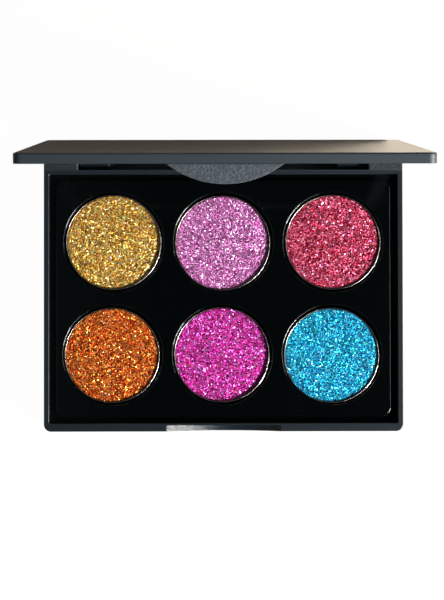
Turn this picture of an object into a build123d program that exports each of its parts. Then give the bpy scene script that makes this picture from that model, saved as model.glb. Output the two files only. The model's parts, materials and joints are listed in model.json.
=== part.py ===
from build123d import *
import os

# Six-pan palette of pressed glitter: a shallow case, a tray, six lift-out pans and a hinged mirror lid.
# Millimetres. +Z is up, -Y is the front with the thumb notch, +Y is the hinge side, +X is to the right.
# The origin is the centre of the case's flat bottom.

# Driving dimensions
CASE_WIDTH = 100.0
CASE_DEPTH = 78.4
CASE_HEIGHT = 9.5
CORNER_RADIUS = 2.0
FLOOR_THICKNESS = 1.2
SIDE_WALL = 1.45
FRONT_WALL = 2.3
BACK_WALL = 1.1
BOTTOM_EASE = 0.8
RIM_EASE = 0.2
LUG_EASE = 0.35
LABEL_WIDTH = 84.0
LABEL_DEPTH = 62.0
LABEL_RADIUS = 3.0
GROOVE_WIDTH = 0.6
GROOVE_DEPTH = 0.3

LID_DEPTH = 80.0
LID_THICKNESS = 2.6
LID_GAP = 0.1
LID_REST_ANGLE = 81.3
LID_EDGE = 0.5

PIVOT_BELOW_RIM = 3.8
PIVOT_FROM_FRONT = 74.95
HINGE_BAY_WIDTH = 81.0
KNUCKLE_RADIUS = 1.8
KNUCKLE_WIDTH = 8.5
KNUCKLE_EASE = 0.3
PIN_RADIUS = 0.75
PIN_LENGTH = 13.5

PAN_RADIUS = 13.25
PAN_DEPTH = 4.0
PAN_WALL = 0.3
PAN_CORNER = 0.8
PAN_RIM_EASE = 0.12
COLUMN_PITCH = 30.6
ROW_PITCH = 31.4

# Front thumb notch and the lid's tab that fills it
NOTCH_CHORD = 32.0
NOTCH_DEPTH = 5.3
NOTCH_RECESS = 1.7
TAB_CHORD = 27.8
TAB_DEPTH = 4.8
TAB_THICKNESS = 1.45
TAB_EASE = 0.15
BEAD_RADIUS = 0.4
BEAD_LENGTH = 9.0
BEAD_CLEARANCE = 0.05
BEAD_BELOW_RIM = 2.2

# Heights that follow from the driving dimensions
RIM = CASE_HEIGHT
PIVOT_Z = RIM - PIVOT_BELOW_RIM
TRAY_TOP = RIM - 0.9
PAN_TOP = RIM - 1.1
PAN_BOTTOM = PAN_TOP - PAN_DEPTH
FLANGE_TOP = RIM - 2.2
FLANGE_THICKNESS = 1.0
LEDGE_TOP = FLANGE_TOP - FLANGE_THICKNESS

# Places along Y
FRONT = -CASE_DEPTH / 2
BACK = CASE_DEPTH / 2
PIVOT_Y = FRONT + PIVOT_FROM_FRONT
CAVITY_DEPTH = 69.4
CAVITY_WIDTH = CASE_WIDTH - 2 * SIDE_WALL
CAVITY_Y = FRONT + FRONT_WALL + CAVITY_DEPTH / 2
BAY_FRONT = FRONT + FRONT_WALL + CAVITY_DEPTH + BACK_WALL
CAVITY_RADIUS = 0.5
LEDGE_WIDTH = 1.0
SILL_WALL = 1.2

# Tray
TRAY_CLEARANCE = 0.1
TRAY_PLATE = 1.2
PLATEAU_WIDTH = 93.2
PLATEAU_DEPTH = 65.8
PLATEAU_RADIUS = 2.5
WELL_RADIUS = 13.85
CUP_WALL = 1.0
CUP_FLOOR = 1.6
WELL_EDGE = 0.3
PLATEAU_EDGE = 0.2
MAGNET_RADIUS = 10.0
MAGNET_THICKNESS = 1.0
MAGNET_CLEARANCE = 0.05

# Cake of pressed glitter in each pan
CAKE_GAP = 0.1
CAKE_RADIUS = PAN_RADIUS - PAN_WALL - CAKE_GAP
CAKE_EDGE = 0.15

# Lid and what it carries
LID_UNDERSIDE = RIM + LID_GAP
MIRROR_WIDTH = 91.6
MIRROR_DEPTH = 63.6
MIRROR_THICKNESS = 1.0
MIRROR_RADIUS = 1.5
MIRROR_BEVEL = 0.25
TAPE_THICKNESS = 0.25
TAPE_MARGIN = 1.5
MIRROR_RECESS = 1.3
MIRROR_CLEARANCE = 0.2
MIRROR_FROM_FRONT = 4.0
KNUCKLE_GAP = 0.3
BORE_CLEARANCE = 0.05
PIN_SUNK = 0.2
PIN_CHAMFER = 0.15
BORE_END_GAP = 0.3

# Column and row of each pan
PAN_PLACES = {
    "gold": (-1, 1),
    "lilac": (0, 1),
    "red": (1, 1),
    "orange": (-1, -1),
    "magenta": (0, -1),
    "turquoise": (1, -1),
}

# The front row of wells lies slightly to the left of the back row
FRONT_ROW_SHIFT = -0.3

# How far each loose pan lies from the centre of its well, in X and Y
PAN_OFF_CENTRE = {
    "gold": (0.0, 0.0),
    "lilac": (-0.2, -0.22),
    "red": (0.0, 0.0),
    "orange": (-0.17, -0.1),
    "magenta": (-0.19, 0.0),
    "turquoise": (-0.18, -0.22),
}

# How far below the pan's rim each cake is pressed
CAKE_BELOW_RIM = {
    "gold": 0.6,
    "lilac": 0.65,
    "red": 0.5,
    "orange": 0.4,
    "magenta": 0.7,
    "turquoise": 0.45,
}


def block(width, depth, bottom, top, y=0.0):
    """A plain block between two heights, centred on X = 0 and the given Y."""
    return Pos(0, y, (bottom + top) / 2) * Box(width, depth, top - bottom)


def rounded_block(width, depth, bottom, top, radius, y=0.0):
    """A block with four rounded upright edges."""
    outline = RectangleRounded(width, depth, radius)
    return extrude(Pos(0, y, bottom) * outline, amount=top - bottom)


def disc(radius, bottom, top, x=0.0, y=0.0):
    """An upright cylinder between two heights."""
    return Pos(x, y, (bottom + top) / 2) * Cylinder(radius, top - bottom)


def crosswise(radius, start, end, y, z):
    """A cylinder along X between two places."""
    return Pos((start + end) / 2, y, z) * Rot(0, 90, 0) * Cylinder(radius, abs(end - start))


def well_place(name):
    """Centre of a pan's well in X and Y."""
    column, row = PAN_PLACES[name]
    shift = FRONT_ROW_SHIFT if row < 0 else 0.0
    return column * COLUMN_PITCH + shift, CAVITY_Y + row * ROW_PITCH / 2


def pan_place(name):
    """Centre of a pan in X and Y, as it lies loose in its well."""
    x, y = well_place(name)
    off_x, off_y = PAN_OFF_CENTRE[name]
    return x + off_x, y + off_y


def hanging_segment(chord, depth, top, thickness):
    """A segment of a circle hanging below a height, from the front face back by its thickness."""
    radius = (chord * chord / 4 + depth * depth) / (2 * depth)
    centre_z = top - depth + radius
    round_bar = Pos(0, FRONT + thickness / 2, centre_z) * Rot(90, 0, 0) * Cylinder(radius, thickness)
    below = Pos(0, FRONT, top - depth) * Box(2 * radius, 4 * thickness, 2 * depth)
    return round_bar & below


def edges_at(shape, axis, value):
    """The edges of a shape that lie in one plane square to an axis."""
    places = {Axis.X: lambda p: p.X, Axis.Z: lambda p: p.Z}
    near = 0.01

    def lies_there(edge):
        return all(abs(places[axis](edge @ share) - value) < near for share in (0, 0.5, 1))

    return ShapeList(edge for edge in shape.edges() if lies_there(edge))


def case_shell():
    """The outer form: rounded corners, eased bottom edge and a quarter round over the hinge."""
    shell = rounded_block(CASE_WIDTH, CASE_DEPTH, 0, RIM, CORNER_RADIUS)
    shell = fillet(edges_at(shell, Axis.Z, 0), radius=BOTTOM_EASE)
    shell = fillet(edges_at(shell, Axis.Z, RIM), radius=RIM_EASE)
    back_radius = CASE_DEPTH - PIVOT_FROM_FRONT
    corner = Pos(0, BACK, RIM) * Box(2 * CASE_WIDTH, 2 * back_radius, 2 * back_radius)
    round_bar = crosswise(back_radius, -CASE_WIDTH, CASE_WIDTH, BACK - back_radius, RIM - back_radius)
    return shell - (corner - round_bar)


def case_cavity():
    """The space for the tray, with a ledge all round under the tray's flange."""
    upper = rounded_block(CAVITY_WIDTH, CAVITY_DEPTH, LEDGE_TOP, RIM + 1, CAVITY_RADIUS, CAVITY_Y)
    lower = rounded_block(
        CAVITY_WIDTH - 2 * LEDGE_WIDTH,
        CAVITY_DEPTH - 2 * LEDGE_WIDTH,
        FLOOR_THICKNESS,
        LEDGE_TOP + 1,
        CAVITY_RADIUS,
        CAVITY_Y,
    )
    return upper + lower


def on_cavity_outline(point):
    """True for a point on the outline of the tray's opening at the rim."""
    inside_x = abs(point.X) < CAVITY_WIDTH / 2 + 0.01
    inside_y = abs(point.Y - CAVITY_Y) < CAVITY_DEPTH / 2 + 0.01
    return inside_x and inside_y


def hinge_bay():
    """The slot between the two lugs, open at the top and, above a low sill, at the back."""
    sill_top = PIVOT_Z - KNUCKLE_RADIUS - KNUCKLE_GAP
    depth = BACK + 1 - BAY_FRONT
    upper = block(HINGE_BAY_WIDTH, depth, sill_top, RIM + 1, BAY_FRONT + depth / 2)
    well_depth = BACK - SILL_WALL - BAY_FRONT
    lower = block(HINGE_BAY_WIDTH, well_depth, FLOOR_THICKNESS, sill_top + 1, BAY_FRONT + well_depth / 2)
    return upper + lower


def lug_edges(case):
    """The upper edges of the two lugs' inner faces, over the top and round the back."""
    inner = HINGE_BAY_WIDTH / 2
    found = edges_at(case, Axis.X, inner) + edges_at(case, Axis.X, -inner)
    return [e for e in found if (e @ 0.5).Z > PIVOT_Z and (e @ 0.5).Y > BAY_FRONT + 0.01]


def label_groove():
    """A fine groove in the underside that frames a plain label panel."""
    outer = rounded_block(LABEL_WIDTH, LABEL_DEPTH, -1, GROOVE_DEPTH, LABEL_RADIUS)
    inner_width = LABEL_WIDTH - 2 * GROOVE_WIDTH
    inner_depth = LABEL_DEPTH - 2 * GROOVE_WIDTH
    return outer - rounded_block(inner_width, inner_depth, -2, 1, LABEL_RADIUS - GROOVE_WIDTH)


def base_case():
    """The moulded case: floor, walls, tray ledge, hinge lugs and thumb notch."""
    case = case_shell() - case_cavity()
    opening = [e for e in edges_at(case, Axis.Z, RIM) if on_cavity_outline(e @ 0.5)]
    case = fillet(opening, radius=RIM_EASE)
    case = case - hinge_bay()
    case = fillet(lug_edges(case), radius=LUG_EASE) - label_groove()
    case = case - hanging_segment(NOTCH_CHORD, NOTCH_DEPTH, RIM, NOTCH_RECESS)
    catch = crosswise(
        BEAD_RADIUS + BEAD_CLEARANCE,
        -BEAD_LENGTH / 2 - 1,
        BEAD_LENGTH / 2 + 1,
        FRONT + TAB_THICKNESS,
        RIM - BEAD_BELOW_RIM,
    )
    case = case - catch
    return case - crosswise(PIN_RADIUS, -CASE_WIDTH, CASE_WIDTH, PIVOT_Y, PIVOT_Z)


def pan_tray():
    """The glossy tray: a raised plate with six wells, a low flange, and cups standing on the floor."""
    plateau = rounded_block(PLATEAU_WIDTH, PLATEAU_DEPTH, LEDGE_TOP, TRAY_TOP, PLATEAU_RADIUS, CAVITY_Y)
    plateau = fillet(edges_at(plateau, Axis.Z, TRAY_TOP), radius=PLATEAU_EDGE)
    flange = rounded_block(
        CAVITY_WIDTH - 2 * TRAY_CLEARANCE,
        CAVITY_DEPTH - 2 * TRAY_CLEARANCE,
        LEDGE_TOP,
        FLANGE_TOP,
        CAVITY_RADIUS - TRAY_CLEARANCE,
        CAVITY_Y,
    )
    hollow = rounded_block(
        PLATEAU_WIDTH - 2 * TRAY_PLATE,
        PLATEAU_DEPTH - 2 * TRAY_PLATE,
        LEDGE_TOP - 1,
        TRAY_TOP - TRAY_PLATE,
        PLATEAU_RADIUS - TRAY_PLATE,
        CAVITY_Y,
    )
    tray = plateau + flange - hollow
    for name in PAN_PLACES:
        x, y = well_place(name)
        tray = tray + disc(WELL_RADIUS + CUP_WALL, FLOOR_THICKNESS, TRAY_TOP - TRAY_PLATE / 2, x, y)
    magnet_bottom = PAN_BOTTOM - MAGNET_THICKNESS
    cup_bottom = PAN_BOTTOM - CUP_FLOOR
    for name in PAN_PLACES:
        x, y = well_place(name)
        tray = tray - disc(WELL_RADIUS, PAN_BOTTOM, RIM, x, y)
        tray = tray - disc(MAGNET_RADIUS + MAGNET_CLEARANCE, magnet_bottom, PAN_BOTTOM + 1, x, y)
        tray = tray - disc(WELL_RADIUS, FLOOR_THICKNESS - 1, cup_bottom, x, y)
    round_edges = edges_at(tray, Axis.Z, TRAY_TOP).filter_by(GeomType.CIRCLE)
    return fillet([e for e in round_edges if e.radius > PLATEAU_RADIUS], radius=WELL_EDGE)


def magnet(name):
    """The round magnet glued in the floor of one well."""
    x, y = well_place(name)
    return disc(MAGNET_RADIUS, PAN_BOTTOM - MAGNET_THICKNESS, PAN_BOTTOM, x, y)


def pan(name):
    """One drawn metal pan with a rounded bottom corner."""
    x, y = pan_place(name)
    outer = disc(PAN_RADIUS, PAN_BOTTOM, PAN_TOP, x, y)
    outer = fillet(edges_at(outer, Axis.Z, PAN_BOTTOM), radius=PAN_CORNER)
    inner = disc(PAN_RADIUS - PAN_WALL, PAN_BOTTOM + PAN_WALL, PAN_TOP + 1, x, y)
    inner = fillet(edges_at(inner, Axis.Z, PAN_BOTTOM + PAN_WALL), radius=PAN_CORNER - PAN_WALL)
    shell = outer - inner
    return fillet(edges_at(shell, Axis.Z, PAN_TOP), radius=PAN_RIM_EASE)


def glitter(name):
    """The pressed cake in one pan, a little below the pan's rim, with an eased edge."""
    x, y = pan_place(name)
    top = PAN_TOP - CAKE_BELOW_RIM[name]
    cake = disc(CAKE_RADIUS, PAN_BOTTOM + PAN_WALL, top, x, y)
    cake = fillet(edges_at(cake, Axis.Z, PAN_BOTTOM + PAN_WALL), radius=PAN_CORNER - PAN_WALL)
    return fillet(edges_at(cake, Axis.Z, top), radius=CAKE_EDGE)


def knuckle(side):
    """One hinge knuckle of the lid as it lies when shut, with the blind bore for its pin."""
    outer = HINGE_BAY_WIDTH / 2 - KNUCKLE_GAP
    inner = outer - KNUCKLE_WIDTH
    barrel = crosswise(KNUCKLE_RADIUS, side * inner, side * outer, PIVOT_Y, PIVOT_Z)
    web_top = LID_UNDERSIDE + LID_THICKNESS / 2
    web = block(KNUCKLE_WIDTH, 2 * KNUCKLE_RADIUS, PIVOT_Z, web_top, PIVOT_Y)
    solid = barrel + Pos(side * (inner + outer) / 2, 0, 0) * web
    ends = edges_at(solid, Axis.X, side * inner) + edges_at(solid, Axis.X, side * outer)
    low_ends = [e for e in ends if (e @ 0.5).Z < LID_UNDERSIDE - 0.1]
    solid = fillet(low_ends, radius=KNUCKLE_EASE)
    bore_end = CASE_WIDTH / 2 - PIN_SUNK - PIN_LENGTH - BORE_END_GAP
    bore_radius = PIN_RADIUS + BORE_CLEARANCE
    return solid - crosswise(bore_radius, side * bore_end, side * CASE_WIDTH, PIVOT_Y, PIVOT_Z)


def shut_lid():
    """The lid as it lies when shut: plate, two knuckles, thumb tab and catch bead."""
    lid_y = FRONT + LID_DEPTH / 2
    top = LID_UNDERSIDE + LID_THICKNESS
    plate = rounded_block(CASE_WIDTH, LID_DEPTH, LID_UNDERSIDE, top, CORNER_RADIUS, lid_y)
    plate = fillet(edges_at(plate, Axis.Z, top), radius=LID_EDGE)
    recess = rounded_block(
        MIRROR_WIDTH + 2 * MIRROR_CLEARANCE,
        MIRROR_DEPTH + 2 * MIRROR_CLEARANCE,
        LID_UNDERSIDE - 1,
        LID_UNDERSIDE + MIRROR_RECESS,
        MIRROR_RADIUS + MIRROR_CLEARANCE,
        mirror_y(),
    )
    tab = hanging_segment(TAB_CHORD, TAB_DEPTH, LID_UNDERSIDE, TAB_THICKNESS)
    tab = fillet(tab.edges().filter_by(GeomType.CIRCLE), radius=TAB_EASE)
    root_y = FRONT + TAB_THICKNESS / 2
    tab = tab + block(TAB_CHORD - 1, TAB_THICKNESS, LID_UNDERSIDE - 0.2, LID_UNDERSIDE + 1, root_y)
    bead = crosswise(
        BEAD_RADIUS,
        -BEAD_LENGTH / 2,
        BEAD_LENGTH / 2,
        FRONT + TAB_THICKNESS,
        RIM - BEAD_BELOW_RIM,
    )
    return plate + tab + bead + knuckle(-1) + knuckle(1) - recess


def mirror_y():
    """Centre of the mirror along Y when the lid is shut."""
    return FRONT + MIRROR_FROM_FRONT + MIRROR_DEPTH / 2


def shut_tape():
    """The double-sided tape between the lid and the mirror."""
    top = LID_UNDERSIDE + MIRROR_RECESS
    return rounded_block(
        MIRROR_WIDTH - 2 * TAPE_MARGIN,
        MIRROR_DEPTH - 2 * TAPE_MARGIN,
        top - TAPE_THICKNESS,
        top,
        MIRROR_RADIUS,
        mirror_y(),
    )


def shut_mirror():
    """The mirror glass with a fine ground edge."""
    top = LID_UNDERSIDE + MIRROR_RECESS - TAPE_THICKNESS
    bottom = top - MIRROR_THICKNESS
    glass = rounded_block(MIRROR_WIDTH, MIRROR_DEPTH, bottom, top, MIRROR_RADIUS, mirror_y())
    return chamfer(edges_at(glass, Axis.Z, bottom), length=MIRROR_BEVEL)


def opened(shape):
    """A lid part turned from shut to the rest angle about the hinge."""
    hinge = Axis((0, PIVOT_Y, PIVOT_Z), (-1, 0, 0))
    return shape.rotate(hinge, LID_REST_ANGLE)


def hinge_pin(side):
    """A steel pin pressed in through one lug, reaching into the lid's knuckle."""
    outer_end = CASE_WIDTH / 2 - PIN_SUNK
    pin = crosswise(PIN_RADIUS, side * (outer_end - PIN_LENGTH), side * outer_end, PIVOT_Y, PIVOT_Z)
    return chamfer(pin.edges().filter_by(GeomType.CIRCLE), length=PIN_CHAMFER)


def all_parts():
    """Every piece of the palette by name."""
    parts = {
        "base_case": base_case(),
        "pan_tray": pan_tray(),
        "lid_cover": opened(shut_lid()),
        "mirror_tape": opened(shut_tape()),
        "mirror_glass": opened(shut_mirror()),
        "hinge_pin_left": hinge_pin(-1),
        "hinge_pin_right": hinge_pin(1),
    }
    for name in PAN_PLACES:
        parts["magnet_" + name] = magnet(name)
        parts["pan_" + name] = pan(name)
        parts["glitter_" + name] = glitter(name)
    return parts


os.makedirs("parts", exist_ok=True)
for node, shape in all_parts().items():
    export_step(shape, "parts/" + node + ".step")
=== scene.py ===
import json
import math
import random

import bpy
import numpy as np
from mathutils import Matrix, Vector, geometry


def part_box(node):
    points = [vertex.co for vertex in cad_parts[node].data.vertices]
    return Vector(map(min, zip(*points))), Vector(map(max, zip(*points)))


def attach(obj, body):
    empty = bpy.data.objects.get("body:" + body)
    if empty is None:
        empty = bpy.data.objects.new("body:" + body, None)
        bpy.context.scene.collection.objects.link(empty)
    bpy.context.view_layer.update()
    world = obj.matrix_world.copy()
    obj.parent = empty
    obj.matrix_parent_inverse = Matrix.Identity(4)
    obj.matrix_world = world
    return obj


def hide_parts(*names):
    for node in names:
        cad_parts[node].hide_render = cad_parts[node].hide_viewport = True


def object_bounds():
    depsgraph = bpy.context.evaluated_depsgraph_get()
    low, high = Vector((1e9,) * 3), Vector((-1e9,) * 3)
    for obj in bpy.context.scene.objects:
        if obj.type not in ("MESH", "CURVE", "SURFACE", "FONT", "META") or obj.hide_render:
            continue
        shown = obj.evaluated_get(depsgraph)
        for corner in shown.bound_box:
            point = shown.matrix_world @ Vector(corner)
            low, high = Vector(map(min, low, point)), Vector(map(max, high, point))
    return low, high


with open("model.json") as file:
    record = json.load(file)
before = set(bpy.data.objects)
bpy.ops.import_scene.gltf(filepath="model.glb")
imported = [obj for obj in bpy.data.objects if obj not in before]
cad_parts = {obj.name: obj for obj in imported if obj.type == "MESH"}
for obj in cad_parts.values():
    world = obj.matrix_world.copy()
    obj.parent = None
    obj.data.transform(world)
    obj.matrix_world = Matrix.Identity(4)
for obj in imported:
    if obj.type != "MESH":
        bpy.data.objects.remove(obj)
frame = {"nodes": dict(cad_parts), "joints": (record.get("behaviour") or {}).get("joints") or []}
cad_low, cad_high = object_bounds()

MM = 0.001
NODES = frame["nodes"]
HINGE = next(joint for joint in frame["joints"] if joint["name"] == "lid_hinge")
OPEN_ANGLE = math.radians(-HINGE["range_deg"][0])
# The way that the lid's outer face looks while it stands open
LID_OUTWARD = (0, math.sin(OPEN_ANGLE), math.cos(OPEN_ANGLE))

# ---------------------------------------------------------------- node helpers


class Nodes:
    """An emptied node tree with short calls for the nodes that this script uses."""

    def __init__(self, owner):
        owner.use_nodes = True
        self.tree = owner.node_tree
        self.tree.nodes.clear()

    def node(self, kind, **settings):
        made = self.tree.nodes.new(kind)
        for key, value in settings.items():
            setattr(made, key, value)
        return made

    def link(self, source, target):
        self.tree.links.new(source, target)

    def feed(self, socket, value):
        """Links a socket's source, or sets its plain value."""
        if isinstance(value, bpy.types.NodeSocket):
            self.link(value, socket)
        else:
            socket.default_value = value

    def math(self, operation, first, second=0.0):
        made = self.node("ShaderNodeMath", operation=operation)
        self.feed(made.inputs[0], first)
        self.feed(made.inputs[1], second)
        return made.outputs[0]

    def ramp(self, value, low, high, to_low=0.0, to_high=1.0, curve="LINEAR"):
        """Maps low..high to to_low..to_high, clamped."""
        made = self.node("ShaderNodeMapRange", interpolation_type=curve)
        self.feed(made.inputs["Value"], value)
        made.inputs["From Min"].default_value = low
        made.inputs["From Max"].default_value = high
        made.inputs["To Min"].default_value = to_low
        made.inputs["To Max"].default_value = to_high
        return made.outputs["Result"]

    def spread(self, value, low, high, to_low=0.0, to_high=1.0):
        """The same with an S-shaped curve."""
        return self.ramp(value, low, high, to_low, to_high, curve="SMOOTHSTEP")

    def split(self, vector):
        """The three parts of a vector."""
        made = self.node("ShaderNodeSeparateXYZ")
        self.link(vector, made.inputs[0])
        return made.outputs

    def mix(self, share, first, second):
        """A colour between two colours."""
        made = self.node("ShaderNodeMix", data_type="RGBA")
        self.feed(made.inputs[0], share)
        self.feed(made.inputs[6], first)
        self.feed(made.inputs[7], second)
        return made.outputs[2]


class Shader(Nodes):
    """A material's node tree with its Principled node."""

    def __init__(self, name):
        self.material = bpy.data.materials.new(name)
        super().__init__(self.material)
        self.surface = self.node("ShaderNodeBsdfPrincipled")
        self.output = self.node("ShaderNodeOutputMaterial")
        self.link(self.surface.outputs["BSDF"], self.output.inputs["Surface"])

    def set(self, **values):
        """Sets the Principled node's own sockets by name, with _ for a space."""
        for key, value in values.items():
            self.feed(self.surface.inputs[key.replace("_", " ")], value)

    def place(self, stretch=(1, 1, 1), turn_x=0.0):
        """Object coordinates in millimetres, turned about X and stretched."""
        coordinates = self.node("ShaderNodeTexCoord").outputs["Object"]
        mapping = self.node("ShaderNodeMapping")
        mapping.inputs["Rotation"].default_value = (turn_x, 0, 0)
        mapping.inputs["Scale"].default_value = [1000 * s for s in stretch]
        self.link(coordinates, mapping.inputs["Vector"])
        return mapping.outputs["Vector"]

    def noise(self, place, scale, detail=3.0, roughness=0.55):
        made = self.node("ShaderNodeTexNoise")
        self.link(place, made.inputs["Vector"])
        made.inputs["Scale"].default_value = scale
        made.inputs["Detail"].default_value = detail
        made.inputs["Roughness"].default_value = roughness
        return made.outputs["Fac"]

    def cells(self, place, scale):
        made = self.node("ShaderNodeTexVoronoi")
        self.link(place, made.inputs["Vector"])
        made.inputs["Scale"].default_value = scale
        return made.outputs["Distance"]

    def facing(self, direction):
        """How squarely the object's own surface looks in a direction, 1 at most."""
        normal = self.node("ShaderNodeTexCoord").outputs["Normal"]
        turned = self.node("ShaderNodeVectorMath", operation="DOT_PRODUCT")
        self.link(normal, turned.inputs[0])
        turned.inputs[1].default_value = direction
        return turned.outputs["Value"]

    def bump(self, height, strength, distance, below=None):
        made = self.node("ShaderNodeBump")
        made.inputs["Strength"].default_value = strength
        made.inputs["Distance"].default_value = distance
        self.feed(made.inputs["Height"], height)
        if below is not None:
            self.link(below, made.inputs["Normal"])
        self.link(made.outputs["Normal"], self.surface.inputs["Normal"])
        return made.outputs["Normal"]


def colour(red, green, blue):
    return (red, green, blue, 1.0)


def srgb(red, green, blue):
    """A linear colour from 0-255 display values."""
    def linear(value):
        share = value / 255
        return share / 12.92 if share <= 0.04045 else ((share + 0.055) / 1.055) ** 2.4

    return (linear(red), linear(green), linear(blue), 1.0)


# ------------------------------------------------------------------- materials

# Where each finish begins and is full, in millimetres along one axis
TAB_FACE_Y = (28.35, 28.1)
TAB_FOOT_Z = (76.0, 77.0)
NOTCH_SIDE_X = (15.95, 15.85)
NOTCH_FACE_Y = (-37.4, -37.5)
LUG_FRONT_Y = (33.0, 34.0)
KNUCKLE_TOP_Z = (8.6, 8.2)

LUG_GRAIN = 0.7
GRAIN_BUMP = 0.22 * MM
SKIN_BUMP = 0.04 * MM
DUST_SHARE = 0.35
POLISHED = 0.42
NOTCH_SHINE = -0.28


def satin_black(name, dark, light, smooth, coarse, turn_x=0.0):
    """Moulded black plastic: smooth and coarse are its roughness off and on the spark-eroded areas.

    The lid is the piece whose grain is turned about X."""
    shader = Shader(name)
    place = shader.place(turn_x=turn_x)
    lid = turn_x != 0
    eroded, notch = coarse_areas(shader, lid)
    fine = shader.noise(place, 6.5, detail=3.0, roughness=0.6)
    grain = shader.noise(place, 1.6, detail=3.0, roughness=0.75)
    patches = shader.noise(place, 0.09, detail=3.0)
    tone = shader.mix(shader.spread(patches, 0.38, 0.68, 0.3, 0.55), dark, light)
    tips = shader.math("MULTIPLY", shader.spread(grain, 0.46, 0.66), eroded)
    tip_tone = [min(1.0, 2.0 * channel) for channel in light]
    tone = shader.mix(tips, tone, tip_tone)
    shader.set(Base_Color=dusty(shader, place, tone), Specular_IOR_Level=0.45)
    rough = shader.spread(eroded, 0.0, 1.0, smooth, coarse)
    rough = shader.math("ADD", rough, shader.spread(patches, 0.3, 0.7, 0.006, -0.008))
    rough = shader.math("ADD", rough, shader.spread(fine, 0.3, 0.7, -0.03, 0.03))
    if lid:
        polish = shader.spread(polished_areas(shader), 0.0, 1.0, 1.0, POLISHED)
        rough = shader.math("MULTIPLY", rough, polish)
    else:
        rough = shader.math("ADD", rough, shader.spread(notch, 0.0, 1.0, 0.0, NOTCH_SHINE))
    shader.set(Roughness=rough)
    skin = shader.bump(fine, 0.25, SKIN_BUMP)
    shader.bump(shader.math("MULTIPLY", grain, eroded), 0.9, GRAIN_BUMP, below=skin)
    return shader.material


def dusty(shader, place, tone):
    """A tone with a few pale specks of dust, in thin patches."""
    specks = shader.spread(shader.cells(place, 0.62), 0.055, 0.025)
    patches = shader.spread(shader.noise(place, 0.3), 0.5, 0.62)
    dust = shader.math("MULTIPLY", specks, patches)
    return shader.mix(shader.math("MULTIPLY", dust, DUST_SHARE), tone, colour(0.24, 0.24, 0.23))


def polished_areas(shader):
    """1 on the lid's outer face and its knuckles, which are glossier than its rim and its tab."""
    outside = shader.spread(shader.facing(LID_OUTWARD), 0.7, 0.97)
    z = shader.split(shader.place())[2]
    return shader.math("MAXIMUM", outside, shader.spread(z, *KNUCKLE_TOP_Z))


def coarse_areas(shader, lid):
    """1 on the lid's tab, or on the case's thumb notch and lugs, where the mould was eroded coarsely.

    The second mask is the notch alone."""
    x, y, z = shader.split(shader.place())
    if lid:
        tab = shader.math("MULTIPLY", shader.spread(y, *TAB_FACE_Y), shader.spread(z, *TAB_FOOT_Z))
        return tab, None
    middle = shader.spread(shader.math("ABSOLUTE", x), *NOTCH_SIDE_X)
    notch = shader.math("MULTIPLY", middle, shader.spread(y, *NOTCH_FACE_Y))
    lugs = shader.math("MULTIPLY", shader.spread(y, *LUG_FRONT_Y), LUG_GRAIN)
    return shader.math("MAXIMUM", notch, lugs), notch


def gloss_black():
    """The tray's polished black plastic, with faint smears and hairlines."""
    shader = Shader("tray_gloss")
    place = shader.place()
    smears = shader.noise(shader.place(stretch=(1, 0.45, 1)), 0.07, detail=4.0, roughness=0.6)
    hairs = shader.noise(shader.place(stretch=(0.25, 6.0, 1)), 0.8, detail=2.0)
    specks = shader.spread(shader.cells(place, 0.45), 0.03, 0.012)
    black = colour(0.0005, 0.0009, 0.0010)
    tone = shader.mix(shader.math("MULTIPLY", specks, 0.3), black, colour(0.2, 0.2, 0.2))
    shader.set(Base_Color=tone, Specular_IOR_Level=0.4)
    rough = shader.spread(smears, 0.45, 0.72, 0.06, 0.12)
    rough = shader.math("ADD", rough, shader.spread(hairs, 0.6, 0.72, 0.0, 0.03))
    shader.set(Roughness=rough)
    shader.bump(smears, 0.05, 0.0001)
    return shader.material


def drawn_metal():
    """Bright thin metal of the pans, with drawing lines round the wall.

    The colour attribute inside is 1 where painted shade darkens the metal, down the pan's inner wall."""
    shader = Shader("pan_metal")
    place = shader.place(stretch=(0.4, 0.4, 6.0))
    lines = shader.noise(place, 1.6, detail=3.0)
    bright = shader.spread(lines, 0.35, 0.65)
    tone = shader.mix(bright, colour(0.42, 0.39, 0.37), colour(0.58, 0.54, 0.51))
    inside = shader.node("ShaderNodeVertexColor", layer_name="inside").outputs["Color"]
    # Painted shade: the pan's hollow is darkened so that its wall throws less light into the shadow
    # beside it
    tone = shader.mix(inside, tone, colour(0.12, 0.10, 0.095))
    shader.set(Base_Color=tone, Metallic=1.0, Roughness=shader.spread(lines, 0.3, 0.7, 0.17, 0.25))
    shader.bump(lines, 0.12, 0.00003)
    return shader.material


def pin_steel():
    """Drawn steel wire with a sawn end."""
    shader = Shader("pin_steel")
    lines = shader.noise(shader.place(stretch=(0.3, 5.0, 5.0)), 1.2)
    tone = shader.mix(lines, colour(0.40, 0.41, 0.42), colour(0.66, 0.67, 0.68))
    shader.set(Base_Color=tone, Metallic=1.0, Roughness=shader.spread(lines, 0.3, 0.7, 0.25, 0.42))
    return shader.material


def ferrite():
    """Dark sintered magnet with a fine sparkle of grains."""
    shader = Shader("magnet_ferrite")
    place = shader.place()
    grains = shader.cells(place, 3.0)
    pale = shader.spread(grains, 0.2, 0.6)
    tone = shader.mix(pale, colour(0.030, 0.030, 0.032), colour(0.075, 0.074, 0.072))
    shader.set(Base_Color=tone, Metallic=0.5, Roughness=shader.spread(grains, 0.1, 0.7, 0.38, 0.62))
    shader.bump(grains, 0.25, 0.00003)
    return shader.material


def foam_tape():
    """White double-sided foam tape with open pores."""
    shader = Shader("foam_tape")
    pores = shader.cells(shader.place(), 2.6)
    filled = shader.spread(pores, 0.1, 0.5)
    tone = shader.mix(filled, colour(0.50, 0.50, 0.46), colour(0.80, 0.80, 0.76))
    shader.set(Base_Color=tone, Roughness=0.85)
    shader.bump(pores, 0.3, 0.00005)
    return shader.material


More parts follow.
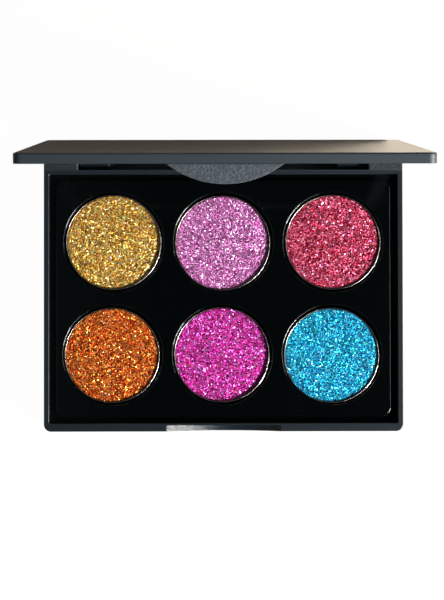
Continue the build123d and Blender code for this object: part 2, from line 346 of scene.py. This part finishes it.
def silvered_glass():
    """The mirror: perfectly smooth silvered face with faint smears, and a greenish ground edge."""
    shader = Shader("mirror_silver")
    place = shader.place()
    smears = shader.noise(shader.place(stretch=(1, 1, 0.5)), 0.06, detail=4.0, roughness=0.65)
    face = shader.spread(shader.facing([-share for share in LID_OUTWARD]), 0.80, 0.95)
    specks = shader.spread(shader.cells(place, 0.4), 0.04, 0.018)
    speck_share = shader.math("MULTIPLY", specks, 0.4)
    silver = shader.mix(speck_share, colour(0.90, 0.91, 0.91), colour(0.55, 0.55, 0.54))
    silver = shader.mix(shader.spread(smears, 0.5, 0.75), silver, colour(0.82, 0.83, 0.83))
    shader.set(Base_Color=shader.mix(face, colour(0.10, 0.20, 0.17), silver), Metallic=face)
    shader.set(Roughness=shader.spread(face, 0.0, 1.0, 0.3, 0.0))
    return shader.material


def glitter_film(name):
    """Metallised film flakes, with each face's tint and shine in the colour attribute and its alpha."""
    shader = Shader(name)
    tint, shine = shader.node("ShaderNodeVertexColor", layer_name="flake").outputs
    mottle = shader.noise(shader.place(), 0.35, detail=2.0)
    shade = shader.mix(shader.spread(mottle, 0.35, 0.65), colour(0.84, 0.84, 0.84), colour(1, 1, 1))
    darken = shader.node("ShaderNodeMix", data_type="RGBA", blend_type="MULTIPLY")
    darken.inputs[0].default_value = 1.0
    shader.link(tint, darken.inputs[6])
    shader.link(shade, darken.inputs[7])
    shader.set(Base_Color=darken.outputs[2], Specular_IOR_Level=0.2)
    shader.set(Metallic=shader.spread(shine, 0.0, 1.0, 0.68, 0.95))
    shader.set(Roughness=shader.spread(shine, 0.0, 1.0, 0.42, 0.30))
    return shader.material


FLOOR_LIFT = 0.93
FLOOR_GLOW = 1.05
ONE_BOUNCE = 1.5


def pale_floor():
    """Plain matt table paper, warm in reflections.

    The camera sees it white, with most of its shadow lifted, directly and in the mirror."""
    shader = Shader("floor_white")
    fibres = shader.noise(shader.place(), 0.6, detail=4.0)
    tone = shader.mix(fibres, colour(0.44, 0.385, 0.31), colour(0.50, 0.44, 0.355))
    shader.set(Base_Color=tone, Roughness=0.9, Specular_IOR_Level=0.1)
    lift = shader.node("ShaderNodeEmission")
    lift.inputs["Color"].default_value = colour(1.0, 1.0, 1.0)
    lift.inputs["Strength"].default_value = FLOOR_GLOW
    blend = shader.node("ShaderNodeMixShader")
    path = shader.node("ShaderNodeLightPath").outputs
    first = shader.math("LESS_THAN", path["Ray Depth"], ONE_BOUNCE)
    mirrored = shader.math("MULTIPLY", path["Is Singular Ray"], first)
    seen = shader.math("MAXIMUM", path["Is Camera Ray"], mirrored)
    shader.link(shader.math("MULTIPLY", seen, FLOOR_LIFT), blend.inputs["Fac"])
    shader.link(shader.surface.outputs["BSDF"], blend.inputs[1])
    shader.link(lift.outputs["Emission"], blend.inputs[2])
    shader.link(blend.outputs["Shader"], shader.output.inputs["Surface"])
    return shader.material


# --------------------------------------------------------------------- glitter

# Each cake: deep, body and pale flake tints, rare accents, and the flakes' size in millimetres
GLITTER = {
    "gold": {
        "tints": [srgb(180, 94, 4), srgb(240, 161, 36), srgb(255, 240, 145)],
        "accents": [srgb(110, 235, 60), srgb(255, 250, 230), srgb(240, 110, 30), srgb(190, 170, 235)],
        "accent_share": 0.08,
        "size": 0.25,
        "count": 6000,
    },
    "lilac": {
        "tints": [srgb(181, 62, 148), srgb(229, 113, 197), srgb(255, 188, 246)],
        "accents": [srgb(250, 225, 245), srgb(200, 140, 215)],
        "accent_share": 0.05,
        "size": 0.20,
        "count": 7600,
    },
    "red": {
        "tints": [srgb(134, 2, 22), srgb(183, 23, 58), srgb(234, 118, 153)],
        "accents": [srgb(255, 205, 220), srgb(220, 100, 180)],
        "accent_share": 0.06,
        "size": 0.25,
        "count": 6000,
    },
    "orange": {
        "tints": [srgb(163, 25, 0), srgb(223, 66, 5), srgb(255, 162, 66)],
        "accents": [srgb(255, 215, 130), srgb(250, 235, 200), srgb(190, 160, 40)],
        "accent_share": 0.06,
        "size": 0.27,
        "count": 5600,
    },
    "magenta": {
        "tints": [srgb(160, 3, 94), srgb(226, 24, 162), srgb(250, 112, 224)],
        "accents": [srgb(130, 100, 250), srgb(255, 190, 240), srgb(250, 80, 50), srgb(110, 200, 210)],
        "accent_share": 0.08,
        "size": 0.25,
        "count": 6000,
    },
    "turquoise": {
        "tints": [srgb(0, 91, 156), srgb(4, 156, 212), srgb(68, 211, 243)],
        "accents": [srgb(200, 255, 250), srgb(50, 80, 230), srgb(30, 225, 150)],
        "accent_share": 0.07,
        "size": 0.25,
        "count": 6000,
    },
}

# How common each tint is, and the range of its brightness
TINT_WEIGHTS = [0.36, 0.42, 0.22]
TINT_LEVELS = [(0.03, 0.48), (0.38, 1.15), (0.95, 1.45)]
BED_LEVEL = 0.8
SHADED = 0.4
SHINY_SHARE = 0.3

BED_STEP = 0.24 * MM
BED_ROUGHNESS = 0.035 * MM
BED_JITTER = 0.24
BED_BELOW_TOP = 0.12 * MM
BED_SWELL = 0.022 * MM
EDGE_SHARE = 0.05
EDGE_DROP = 0.10 * MM
CAKE_SPREAD = 0.06 * MM
RIM_POINTS = 300
FLAKE_SIDES = 6
FLAKE_SPREAD = (0.7, 1.25)
FLAKE_TILT = math.radians(20)
FLAKE_LIFT = 0.09 * MM
FLAKE_ROOT = 0.16 * MM
# The mesher and its keys work on points near 1 in size
MESHER_SCALE = 100


def point_key(point):
    """A point's coordinates without their last digits, which the mesher may change."""
    return tuple(round(part, 4) for part in point)


def lattice(radius):
    """A triangle mesh over a disc: lattice points inside, evenly spaced points on the rim."""
    points = []
    step_y = BED_STEP * math.sqrt(3) / 2
    rows = int(radius / step_y) + 1
    columns = int(radius / BED_STEP) + 1
    for row in range(-rows, rows + 1):
        for column in range(-columns, columns + 1):
            x = (column + 0.5 * (row % 2)) * BED_STEP
            y = row * step_y
            if math.hypot(x, y) < radius - 0.6 * BED_STEP:
                points.append(Vector((x, y)))
    inside = len(points)
    for number in range(RIM_POINTS):
        angle = 2 * math.pi * number / RIM_POINTS
        points.append(Vector((radius * math.cos(angle), radius * math.sin(angle))))
    rim = list(range(inside, inside + RIM_POINTS))
    edges = list(zip(rim, rim[1:] + rim[:1]))
    scaled = [MESHER_SCALE * point for point in points]
    meshed = geometry.delaunay_2d_cdt(scaled, edges, [], 1, 1e-7)
    order = {point_key(point): number for number, point in enumerate(scaled)}
    renumber = [order[point_key(point)] for point in meshed[0]]
    triangles = [[renumber[i] for i in triangle] for triangle in meshed[2]]
    return points, triangles, rim


class Cake:
    """Gathers one cake's corners, faces and tints, and knows the height of its pressed bed."""

    def __init__(self, name):
        self.recipe = GLITTER[name]
        self.draw = random.Random("cake " + name)
        low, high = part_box("glitter_" + name)
        self.centre = (low + high) / 2
        self.radius = (high.x - low.x) / 2 + CAKE_SPREAD
        self.floor, self.top = low.z, high.z
        self.phases = [self.draw.uniform(0, 2 * math.pi) for _ in range(4)]
        self.vertices, self.faces, self.tints = [], [], []

    def height(self, x, y):
        """The bed is nearly flat, with a slow unevenness from pressing and a slightly lower edge."""
        first, second, third, fourth = self.phases
        swell = math.sin(x / (3.3 * MM) + first) * math.cos(y / (2.9 * MM) + second)
        swell += 0.5 * math.sin((x + y) / (1.5 * MM) + third) * math.cos((x - y) / (1.8 * MM) + fourth)
        edge = max(0.0, math.hypot(x, y) / self.radius - 1 + EDGE_SHARE) / EDGE_SHARE
        return self.top - BED_BELOW_TOP + BED_SWELL * swell - EDGE_DROP * edge * edge

    def tint(self, level=1.0):
        """One face's colour from the recipe, with its shine as the fourth value."""
        recipe, draw = self.recipe, self.draw
        kind = draw.choices(range(3), TINT_WEIGHTS)[0]
        base = recipe["tints"][kind]
        if draw.random() < recipe["accent_share"]:
            base = draw.choice(recipe["accents"])
        level = level * draw.uniform(*TINT_LEVELS[kind])
        shine = 1.0 if draw.random() < SHINY_SHARE else 0.0
        return tuple(min(1.0, channel * level) for channel in base[:3]) + (shine,)

    def add_bed(self, points, triangles, rim):
        """The pressed bed: one small facet after another, closed down to the pan's floor."""
        draw = self.draw
        for number, point in enumerate(points):
            x, y = point
            lift = draw.gauss(0, 1) * BED_ROUGHNESS
            if number < rim[0]:
                x += draw.uniform(-BED_JITTER, BED_JITTER) * BED_STEP
                y += draw.uniform(-BED_JITTER, BED_JITTER) * BED_STEP
            z = min(self.height(x, y) + lift, self.top)
            self.vertices.append((self.centre.x + x, self.centre.y + y, z))
        for triangle in triangles:
            self.faces.append(triangle)
            self.tints.append(self.tint(BED_LEVEL))
        side = self.tint(SHADED)
        lower = []
        for number in rim:
            lower.append(len(self.vertices))
            self.vertices.append((self.vertices[number][0], self.vertices[number][1], self.floor))
        for number in range(len(rim)):
            after = (number + 1) % len(rim)
            self.faces.append([rim[after], rim[number], lower[number], lower[after]])
            self.tints.append(side)
        self.faces.append(list(reversed(lower)))
        self.tints.append(side)

    def add_flake(self):
        """One six-sided film flake, tilted at random and rooted in the bed, as a closed shape."""
        draw = self.draw
        reach = self.recipe["size"] * MM / 2 * draw.uniform(*FLAKE_SPREAD)
        distance = (self.radius - reach) * math.sqrt(draw.random())
        angle = draw.uniform(0, 2 * math.pi)
        x, y = distance * math.cos(angle), distance * math.sin(angle)
        slope_x = math.tan(draw.gauss(0, FLAKE_TILT))
        slope_y = math.tan(draw.gauss(0, FLAKE_TILT))
        middle = self.height(x, y) + draw.uniform(0.0, FLAKE_LIFT)
        first = len(self.vertices)
        side_angle = 2 * math.pi / FLAKE_SIDES
        turn = draw.uniform(0, side_angle)
        for number in range(FLAKE_SIDES):
            around = turn + side_angle * number
            step_x, step_y = reach * math.cos(around), reach * math.sin(around)
            z = min(middle + slope_x * step_x + slope_y * step_y, self.top)
            self.vertices.append((self.centre.x + x + step_x, self.centre.y + y + step_y, z))
        self.vertices.append((self.centre.x + x, self.centre.y + y, middle - FLAKE_ROOT))
        tint = self.tint()
        shade = tuple(SHADED * channel for channel in tint[:3]) + (0.0,)
        self.faces.append([first + number for number in range(FLAKE_SIDES)])
        self.tints.append(tint)
        for number in range(FLAKE_SIDES):
            after = (number + 1) % FLAKE_SIDES
            self.faces.append([first + after, first + number, first + FLAKE_SIDES])
            self.tints.append(shade)

    def build(self, name):
        """A mesh object with one tint per face in the colour attribute flake."""
        mesh = bpy.data.meshes.new(name)
        mesh.from_pydata(self.vertices, [], self.faces)
        attribute = mesh.color_attributes.new("flake", "FLOAT_COLOR", "CORNER")
        corners = [len(face) for face in self.faces]
        values = np.repeat(np.array(self.tints, np.float32), corners, axis=0)
        attribute.data.foreach_set("color", values.ravel())
        mesh.update()
        return add_object(name, mesh)


def add_object(name, mesh):
    made = bpy.data.objects.new(name, mesh)
    bpy.context.scene.collection.objects.link(made)
    return made


def glitter_cake(name, bed):
    """The pressed cake of one pan, topped with thousands of small tilted flakes."""
    cake = Cake(name)
    cake.add_bed(*bed)
    for _ in range(cake.recipe["count"]):
        cake.add_flake()
    return cake.build("glitter_cake_" + name)


# ------------------------------------------------------------------------ pans

PAN_WALL = 0.22 * MM
PAN_CORNER = 0.8 * MM
PAN_TURNS = 180
# The painted shade inside the pan is full this far below the rim, and has this share on the rim's crest
PAINTED_SHADE_DEPTH = 0.25 * MM
RIM_PAINTED_SHADE = 0.35


def arc(middle_r, middle_z, radius, start, end, steps):
    """Profile points along an arc, as radius and height, angles in degrees from the outward direction."""
    points = []
    for number in range(steps + 1):
        angle = math.radians(start + (end - start) * number / steps)
        points.append((middle_r + radius * math.cos(angle), middle_z + radius * math.sin(angle)))
    return points


def smooth_pan(name):
    """A drawn pan turned on a lathe: rounded foot, thin wall and an eased rim."""
    low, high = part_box("pan_" + name)
    centre = (low + high) / 2
    radius = (high.x - low.x) / 2
    ease = 0.48 * PAN_WALL
    inner_corner = PAN_CORNER - PAN_WALL
    profile = arc(radius - PAN_CORNER, low.z + PAN_CORNER, PAN_CORNER, -90, 0, 8)
    profile += arc(radius - ease, high.z - ease, ease, 0, 90, 6)
    profile += arc(radius - PAN_WALL + ease, high.z - ease, ease, 90, 180, 6)
    profile += arc(radius - PAN_CORNER, low.z + PAN_CORNER, inner_corner, 0, -90, 6)
    mesh = bpy.data.meshes.new("pan_drawn_" + name)
    vertices, faces = [], []
    for turn in range(PAN_TURNS):
        angle = 2 * math.pi * turn / PAN_TURNS
        for r, z in profile:
            vertices.append((centre.x + r * math.cos(angle), centre.y + r * math.sin(angle), z))
    count = len(profile)
    for turn in range(PAN_TURNS):
        here, there = turn * count, (turn + 1) % PAN_TURNS * count
        for step in range(count - 1):
            faces.append([here + step, there + step, there + step + 1, here + step + 1])
    faces.append([turn * count for turn in reversed(range(PAN_TURNS))])
    faces.append([turn * count + count - 1 for turn in range(PAN_TURNS)])
    mesh.from_pydata(vertices, [], faces)
    # The colour attribute inside holds the painted shade, full down the pan's inner wall and partial on
    # its crest
    painted_shade = mesh.color_attributes.new("inside", "FLOAT_COLOR", "POINT")
    shares = []
    for r, z in profile:
        depth = (high.z - z) / PAINTED_SHADE_DEPTH
        inside = r < radius - PAN_WALL / 2
        shares.append(min(1.0, RIM_PAINTED_SHADE + depth) if inside else max(0.0, RIM_PAINTED_SHADE - depth))
    painted_shade.data.foreach_set("color", np.repeat(shares * PAN_TURNS, 4))
    mesh.shade_smooth()
    mesh.update()
    return add_object("pan_drawn_" + name, mesh)


# ------------------------------------------------------------------ the object


def dress(node, material):
    """Gives a CAD node its finished material."""
    NODES[node].data.materials.clear()
    NODES[node].data.materials.append(material)


def dress_all():
    """The pieces that keep their CAD shape."""
    case_dark, case_light = colour(0.0020, 0.0045, 0.0070), colour(0.0034, 0.0066, 0.0096)
    lid_dark, lid_light = colour(0.0070, 0.0120, 0.0170), colour(0.0120, 0.0185, 0.0250)
    dress("base_case", satin_black("case_satin", case_dark, case_light, 0.36, 0.50))
    dress("lid_cover", satin_black("lid_satin", lid_dark, lid_light, 0.48, 0.66, turn_x=OPEN_ANGLE))
    dress("pan_tray", gloss_black())
    dress("mirror_glass", silvered_glass())
    dress("mirror_tape", foam_tape())
    steel, magnet = pin_steel(), ferrite()
    dress("hinge_pin_left", steel)
    dress("hinge_pin_right", steel)
    for name in GLITTER:
        dress("magnet_" + name, magnet)


def fill_pans():
    """The six refills: a drawn pan and its cake, each in place of its plain CAD node."""
    metal = drawn_metal()
    bed = None
    for name in GLITTER:
        low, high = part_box("glitter_" + name)
        bed = bed or lattice((high.x - low.x) / 2 + CAKE_SPREAD)
        pan = smooth_pan(name)
        pan.data.materials.append(metal)
        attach(pan, "refill_" + name)
        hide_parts("pan_" + name)
        cake = glitter_cake(name, bed)
        cake.data.materials.append(glitter_film("glitter_film_" + name))
        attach(cake, "refill_" + name)
        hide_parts("glitter_" + name)


# ------------------------------------------------------------------- the studio

# The camera that the palette is seen from, almost straight above it
CAMERA_PLACE = Vector((-2.8, -9.4, 457.4)) * MM
CAMERA_TURN = (0.0151, -0.0053, -0.0017)
LENS = 96.55
SENSOR = 36.0
FLOOR_RADIUS = 4.0
KEY_TINT = (1.0, 0.985, 0.96)
FILL_TINT = (0.88, 0.94, 1.0)


def add_camera():
    """A camera with a long lens and no blur."""
    data = bpy.data.cameras.new("camera")
    data.lens = LENS
    data.sensor_width = SENSOR
    data.clip_start = 0.01
    data.clip_end = 20.0
    camera = bpy.data.objects.new("camera", data)
    camera.rotation_mode = "YXZ"
    camera.location = CAMERA_PLACE
    camera.rotation_euler = CAMERA_TURN
    bpy.context.scene.collection.objects.link(camera)
    bpy.context.scene.camera = camera


def add_softbox(name, azimuth, elevation, distance, width, height, power, tint):
    """A rectangular area light aimed at the middle of the palette."""
    data = bpy.data.lights.new(name, "AREA")
    data.shape = "RECTANGLE"
    data.size, data.size_y = width, height
    data.energy = power
    data.color = tint
    lamp = bpy.data.objects.new(name, data)
    around, up = math.radians(azimuth), math.radians(elevation)
    towards = Vector((math.cos(up) * math.cos(around), math.cos(up) * math.sin(around), math.sin(up)))
    lamp.location = towards * distance
    lamp.rotation_euler = (-towards).to_track_quat("-Z", "Y").to_euler()
    bpy.context.scene.collection.objects.link(lamp)
    return lamp


def keep_off_mirror(lamps):
    """Hides the mirror from some lamps, so that it throws no second set of highlights on the tray."""
    flagged = bpy.data.collections.new("flagged")
    flagged.objects.link(NODES["mirror_glass"])
    for lamp in lamps:
        lamp.light_linking.receiver_collection = flagged
    flagged.collection_objects[0].light_linking.link_state = "EXCLUDE"


def add_floor():
    """A wide round floor under the palette."""
    bpy.ops.mesh.primitive_circle_add(vertices=96, radius=FLOOR_RADIUS, fill_type="NGON")
    floor = bpy.context.object
    floor.name = "studio_floor"
    floor.location.z = cad_low.z
    floor.data.materials.append(pale_floor())


def light_world():
    """A soft room, pale near the horizon and dim overhead, so that polished black stays black from above.

    It is warm behind the palette, and the camera sees it plain white."""
    world = bpy.data.worlds.new("studio")
    bpy.context.scene.world = world
    room = Nodes(world)
    output = room.node("ShaderNodeOutputWorld")
    background = room.node("ShaderNodeBackground")
    room.link(background.outputs[0], output.inputs[0])
    x, y, z = room.split(room.node("ShaderNodeTexCoord").outputs["Generated"])
    overhead = room.spread(z, 0.45, 0.95, 1.0, 0.0)
    sides = room.math("MULTIPLY", overhead, room.ramp(x, -1.0, 1.0, 0.02, 0.13))
    total = room.math("ADD", sides, room.ramp(x, -0.04, -0.16, 0.0, 0.10))
    air = room.mix(room.ramp(y, 0.1, 0.8), colour(0.93, 0.97, 1.0), colour(1.0, 0.86, 0.70))
    seen = room.node("ShaderNodeLightPath").outputs["Is Camera Ray"]
    strength = room.node("ShaderNodeMix", data_type="FLOAT")
    room.link(seen, strength.inputs[0])
    room.link(total, strength.inputs[2])
    strength.inputs[3].default_value = 1.0
    room.link(strength.outputs[0], background.inputs["Strength"])
    room.link(room.mix(seen, air, colour(1.0, 1.0, 1.0)), background.inputs["Color"])


def build_studio():
    add_camera()
    add_floor()
    light_world()
    lamp = add_softbox("key_right", azimuth=-28, elevation=31, distance=0.70,
                       width=0.28, height=0.11, power=18.0, tint=KEY_TINT)
    wings = add_softbox("key_wings", azimuth=-24, elevation=31, distance=0.71,
                        width=1.10, height=0.07, power=8.0, tint=KEY_TINT)
    keep_off_mirror([lamp, wings])
    add_softbox("fill_left", azimuth=190, elevation=40, distance=1.0,
                width=0.40, height=0.40, power=0.3, tint=FILL_TINT)
    bpy.context.scene.view_settings.view_transform = "Standard"
    bpy.context.scene.view_settings.look = "None"


dress_all()
fill_pans()
build_studio()
